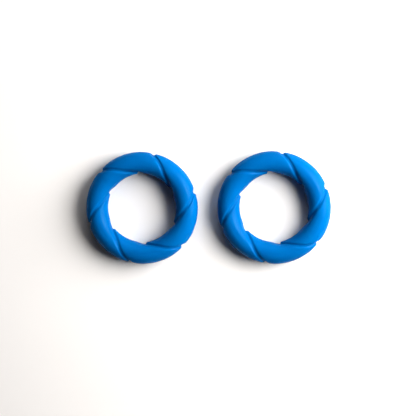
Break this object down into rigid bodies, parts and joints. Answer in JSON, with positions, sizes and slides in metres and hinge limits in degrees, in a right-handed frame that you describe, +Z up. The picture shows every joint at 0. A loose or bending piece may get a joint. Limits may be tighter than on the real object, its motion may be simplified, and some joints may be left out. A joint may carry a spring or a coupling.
{
  "type": "twisted ring pair",
  "caption": "Matched pair of small soft rings, each one moulding with slanted grooves that give it the look of a twisted rope.",
  "frame": {"origin": "middle of the pair, on the surface that both rings lie on", "axes": "+X from the left ring's centre to the right ring's centre, +Z up along both rings' hole axes"},
  "size_m": [0.1086, 0.0498, 0.0097],
  "materials": {
    "ring_rubber": "matt, slightly waxy moulded silicone rubber"
  },
  "bodies": {
    "left_ring": {"left_ring": "ring_rubber"},
    "right_ring": {"right_ring": "ring_rubber"}
  },
  "joints": [
    {"name": "right_ring_lift", "type": "slide", "parent": "left_ring", "child": "right_ring", "axis": [0, 0, 1], "range_m": [0, 0.06]}
  ]
}
